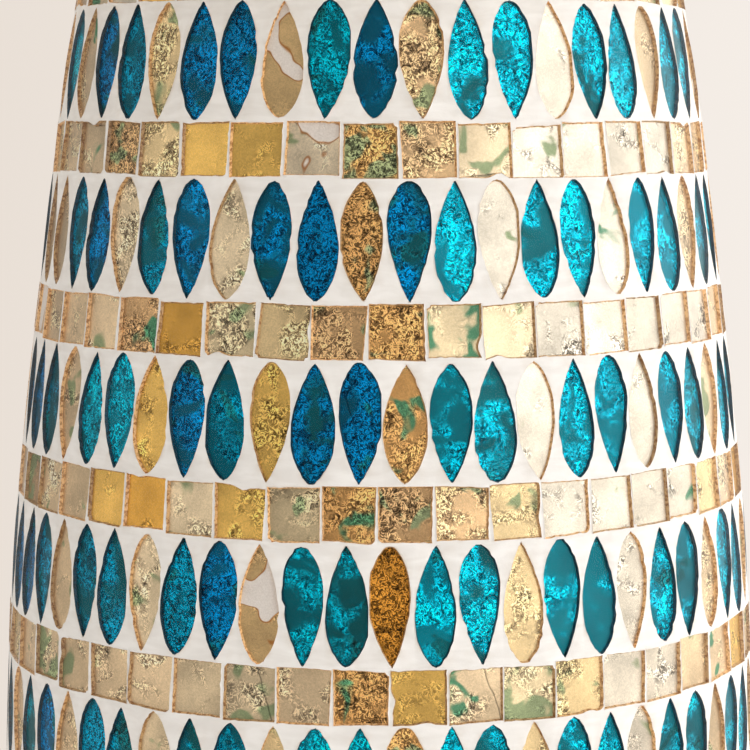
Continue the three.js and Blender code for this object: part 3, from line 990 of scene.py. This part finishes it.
# The harp: a saddle strap, two ferrules that slide up, and a bent wire with a stud on top.
harp = {
    "saddleMiddle": [(-26, 492.3), (-26, 477.4), (-24.2, 475.3), (24.2, 475.3), (26, 477.4), (26, 492.3)],
    "saddleThick": 2.0,
    "saddleDeep": 12.0,
    "saddleBottom": 474.3,
    "wire": 1.6,
    "right": [
        (0, 687), (22, 685), (40, 668), (55, 630), (56, 585), (35.9, 540), (28.9, 520),
        (28.9, 504), (28.9, 486),
    ],
    "leg": 28.9,
    "ferrule": [(2.2, 492.6), (3.9, 492.6), (4.2, 493.4), (4.2, 503.4), (3.2, 505.3), (2.2, 505.3)],
    "stud": [(0, 688.9), (9, 688.9), (9, 691), (3, 691), (3, 705), (0, 705)],
}


def makeHarp():
    middle = rounded(harp["saddleMiddle"], 2.4, 6, closed=False)
    middle = middle[np.r_[True, np.linalg.norm(np.diff(middle, axis=0), axis=1) > 1e-6]]
    half = np.array([harp["saddleDeep"], harp["saddleThick"]]) / 2
    strap = rounded(half * [(-1, -1), (1, -1), (1, 1), (-1, 1)], 0.5)
    saddle = swept("saddle_strap", np.insert(middle, 1, 0.0, axis=1), strap, (0, 1, 0), brightBrass, 0.1)
    drill(saddle, (0, 0, harp["saddleBottom"] - 4), (0, 0, harp["saddleBottom"] + 6), 5.1)
    settle(saddle, "root", "bright_brass", "harp_saddle")

    right = np.array(harp["right"], float)
    whole = np.concatenate([right[::-1] * (-1, 1), right[1:]])
    path = splineCurve(np.insert(whole, 1, 0.0, axis=1), 14)
    wire = rod("harp_wire", path, harp["wire"], (0, 1, 0), brightBrass)
    settle(wire, "root", "bright_brass", "harp_loop")
    stud = lathe("harp_screw", harp["stud"], brightBrass, 0.3, closed=False, around=64)
    settle(stud, "root", "bright_brass", "harp_stud")
    for side, x in (("left", -harp["leg"]), ("right", harp["leg"])):
        sleeve = lathe(f"{side}_sleeve", harp["ferrule"], brightBrass, 0.3, True, 40, "Z", (x, 0, 0))
        settle(sleeve, f"{side}_ferrule", "bright_brass", f"ferrule_{side}")


makeHarp()
print("neck and harp made")

# The lamp holder with its turn key, and the bulb in it.
holder = {
    "cap": [
        (9, 476.9), (9, 479.9), (16, 483.9), (17.8, 485.9), (17.8, 490), (16.4, 490),
        (16.4, 486.3), (5.1, 481.5), (5.1, 476.9),
    ],
    "shell": [
        (17, 490.3), (17, 496), (17.5, 497), (17, 498), (17, 524), (18, 530), (16.8, 530),
        (15.9, 526), (15.9, 490.3),
    ],
    "keyHeight": 501.0,
    "keyHole": 2.4,
    "keyStem": [(0, -26), (3.2, -26), (3.2, -23), (2.4, -22.4), (3.2, -21.8), (3.2, -20.3), (0, -20.3)],
    "keyPaddle": [
        (0, -0.9), (3.4, -1.1), (5.4, -1.8), (7, -1.3), (7, 1.3), (5.4, 1.8), (3.4, 1.1), (0, 0.9),
    ],
    "keyPaddleOut": -30.0,
}
bulb = {
    "capFoot": [(0, 513.2), (3, 513.2), (3.4, 514.6), (9, 516), (12.4, 518)],
    "capBottom": 518.0,
    "capTop": 538.0,
    "threadRadius": 12.55,
    "threadDepth": 0.42,
    "threadPitch": 3.6,
    "collar": [(13.4, 538.3), (15, 548), (21, 561), (19.4, 561), (13.4, 548), (11.8, 538.3)],
    "globe": [(20.7, 561.3), (27.5, 576), (30, 590), (27.6, 604), (20, 615.5), (10, 621), (0, 622.5)],
    "globeWall": 1.2,
}


def opalLook(place):
    # White glass, faintly cloudy, that lets light spread inside it.
    cloud = noiseNode(place, 60.0, 3.0, 0.4)
    return {
        "Base Color": mixColour(cloud, rgba((236, 232, 222)), rgba((247, 245, 238))),
        "Roughness": mixNumber(cloud, 0.10, 0.2),
        "Subsurface Weight": 0.25,
        "Subsurface Scale": 0.004,
        "Normal": bumpNode(cloud, 0.0003, 0.2),
    }


opalGlass = makeMaterial("opalGlass", opalLook)


def makeHolder():
    settle(lathe("holder_base", holder["cap"], brightBrass, 0.9), "root", "bright_brass", "holder_cap")
    shell = lathe("holder_sleeve", holder["shell"], brightBrass, 0.5)
    key = (0.0, 0.0, holder["keyHeight"])
    drill(shell, np.add(key, (0, -8, 0)), np.add(key, (0, -26, 0)), holder["keyHole"])
    settle(shell, "root", "bright_brass", "holder_shell")
    out = np.add(key, (0, holder["keyPaddleOut"], 0))
    paddle = lathe("key_paddle", holder["keyPaddle"], brightBrass, 0.5, False, 64, "X", out)
    settle(paddle, "key", "bright_brass", "switch_key")
    stem = lathe("key_stem", holder["keyStem"], brightBrass, 0.3, False, 40, "Y", key)
    settle(stem, "key", "bright_brass")


def threadedCap():
    # The screw thread: the radius swings by a cosine of height over pitch less the share of a
    # turn, fading out at both ends.
    turns = fullTurn(72)
    height = np.linspace(bulb["capBottom"], bulb["capTop"], 90)[:, None]
    share = (height - bulb["capBottom"]) / (bulb["capTop"] - bulb["capBottom"])
    fade = np.clip(np.minimum(share, 1 - share) * 8, 0, 1)
    swing = np.cos(2 * np.pi * height / bulb["threadPitch"] - turns)
    radius = bulb["threadRadius"] + bulb["threadDepth"] * fade * swing
    below = rounded(bulb["capFoot"], 0.6, closed=False)
    radius = np.concatenate([below[:, :1] + 0 * turns, radius, 0 * turns[None]])
    height = np.concatenate([below[:, 1:], height, [[bulb["capTop"]]]])
    quads = gridFaces(len(height), len(turns), False, True)[:, ::-1]
    return closePoles(meshObject("bulb_thread", roundAxis(radius, turns, height), quads, [zincSteel]))


def makeBulb():
    settle(threadedCap(), "bulb", "steel", "bulb_cap")
    skirt = lathe("bulb_skirt", bulb["collar"], whitePlastic, 1.0)
    settle(skirt, "bulb", "white_plastic", "bulb_collar")
    wall = bulb["globeWall"]
    inner = [(max(r - wall, 0), z if r else z - wall) for r, z in bulb["globe"]]
    skin = np.concatenate([splineCurve(bulb["globe"], 8), splineCurve(inner, 8)[::-1]])
    settle(lathe("bulb_glass", skin, opalGlass, 0), "bulb", "opal", "bulb_globe")


makeHolder()
makeBulb()
print("holder and bulb made")

# The shade: linen stretched on two rings, taped at both edges, hung from a three-armed spider.
shade = {
    "bottom": 441.0,
    "top": 703.0,
    "bottomRadius": 199.3,
    "topRadius": 179.3,
    "cloth": 1.0,  # linen and its lining together
    "tapeWide": 11.0,
    "tapeThick": 0.6,
    "seamWide": 14.0,
    "threads": 1100.0,  # threads per metre
    "topRing": [(175.4, 698.5), (178.0, 698.5), (178.0, 701.2), (175.4, 701.2)],
    "bottomRing": [(195.0, 442.2), (197.6, 442.2), (197.6, 444.8), (195.0, 444.8)],
    "hub": [(3.4, 691.3), (14, 691.3), (14, 692.9), (3.4, 692.9)],
    "armTurns": (30.0, 150.0, 270.0),
    "armStart": (10.0, 692.1),
    "armEnd": (174.8, 699.8),
    "armRadius": 1.5,
}


def linenLook(place, pale, dark, threads):
    # Plain weave: each thread rises where the sine across it is high, and the two sets take
    # turns on top; slubs run along the threads both ways. The gaps between the threads are painted darker
    # as painted shade, and the slubs are the linen's own flecks.
    where = attributeNode(place, "cloth", "Vector")
    warp, weft = (mathNode("ABSOLUTE", mathNode("SINE", times(way, math.pi * threads)))
                  for way in splitUp(where)[:2])
    slubs = mathNode("MAXIMUM", noiseNode(stretched(where, (900.0, 22.0, 1.0)), 1.0),
                     noiseNode(stretched(where, (22.0, 900.0, 1.0)), 1.0))
    tone = plus(times(mathNode("MAXIMUM", warp, weft), 0.35), slubs)
    fleckAndWeaveShade = rampUp(tone, 0.62, 1.05)
    return {
        "Base Color": mixColour(fleckAndWeaveShade, rgba(dark), rgba(pale)),
        "Roughness": mixNumber(fleckAndWeaveShade, 0.95, 0.85),
        "Sheen Weight": 0.15,
        "Normal": bumpNode(tone, 0.0003, 0.7),
    }


linen = makeMaterial("shadeLinen", linenLook, (238, 230, 213), (208, 194, 168), shade["threads"])
linenTape = makeMaterial("linenTape", linenLook, (228, 218, 198), (190, 174, 146), 2 * shade["threads"])


def shadeCloth(name, finish, low, high, outward, thick, halfTurn=np.pi, columns=256):
    # A band of cloth on the cone, from low to high as shares of its height, its outer side this
    # far out. It goes all the way round or is centred on the back. The cloth attribute is the
    # place on the flat cut, in metres.
    whole = halfTurn == np.pi
    turns = np.linspace(-halfTurn, halfTurn, columns, endpoint=not whole) + (0 if whole else np.pi)
    share = np.linspace(low, high, 2 + int(30 * (high - low)))
    fall = shade["bottomRadius"] - shade["topRadius"]
    height = shade["bottom"] + share * (shade["top"] - shade["bottom"])
    cone = shade["bottomRadius"] - share * fall
    radius = np.concatenate([cone + outward, cone[::-1] + outward - thick])[:, None]
    height = np.concatenate([height, height[::-1]])[:, None]
    if not whole:
        isEnd = (turns == turns[0]) | (turns == turns[-1])
        radius = np.where(isEnd, np.concatenate([cone, cone[::-1]])[:, None], radius)
    quads = gridFaces(len(height), columns, True, whole)[:, ::-1]
    piece = meshObject(name, roundAxis(radius, turns, height), quads, [finish])
    place = [turns * shade["bottomRadius"] * mm, height * mm, 0.0]
    addAttribute(piece, "cloth", np.stack(np.broadcast_arrays(*place), -1))
    return closePoles(piece)


def makeShade():
    cloth = shadeCloth("shade_cloth", linen, 0.0, 1.0, 0.0, shade["cloth"])
    settle(cloth, "shade", "linen", "shade_drum")
    thick, band = shade["tapeThick"], shade["tapeWide"] / (shade["top"] - shade["bottom"])
    half = shade["seamWide"] / 2 / shade["bottomRadius"]
    trims = [
        shadeCloth("bottom_tape", linenTape, 0.0, band, thick, thick - 0.05),
        shadeCloth("top_tape", linenTape, 1 - band, 1.0, thick, thick - 0.05),
        shadeCloth("back_seam", linenTape, 0.0, 1.0, thick - 0.1, 0.4, half, 8),
    ]
    for trim in trims:
        settle(trim, "shade", "linen")
    for end in ("top", "bottom"):
        hoop = lathe(f"wire_{end}_ring", shade[f"{end}Ring"], zincSteel, 1.1, around=160)
        settle(hoop, "shade", "steel", f"shade_{end}_ring")

    hub = lathe("spider_hub", shade["hub"], brightBrass, 0.5, around=64)
    settle(hub, "shade", "bright_brass", "shade_spider")
    for number, turn in enumerate(np.radians(shade["armTurns"])):
        outward = np.array([math.cos(turn), math.sin(turn), 0.0])
        start, end = (outward * out + (0, 0, up) for out, up in (shade["armStart"], shade["armEnd"]))
        side = (-math.sin(turn), math.cos(turn), 0.0)
        arm = rod(f"spider_arm_{number + 1}", np.linspace(start, end, 12), shade["armRadius"], side,
                  brightBrass, 16)
        settle(arm, "shade", "bright_brass")


makeShade()
print("shade made")

finial = {
    "seat": 693.2,
    "profile": [
        (0, 13.3), (3.3, 13.3), (3.3, 0), (8, 0), (8, 2.4), (5.4, 4.5), (5.4, 7.5), (9, 12),
        (11.5, 18), (11, 25), (7, 31), (3, 34.5), (2.4, 37), (0, 38.5),
    ],
}
knob = lathe("finial_knob", np.add(finial["profile"], (0, finial["seat"])), antiqueBrass, 1.8, False)
settle(knob, "finial", "antique_brass", "finial")

# Parts that are mostly hidden keep their plain shapes and take their finishes here.
dress(vesselGlass, "glass_vessel")
dress(castIron, "counterweight")
dress(zincSteel, "foot_washer", "foot_nut", "tube", "centring_plug")
dress(waxedCard, "insulating_sleeve")
dress(blackPhenolic, "holder_block")
dress(brightBrass, "centre_contact", "screw_shell", "switch_shaft")
print("shade, finial and hidden parts finished")
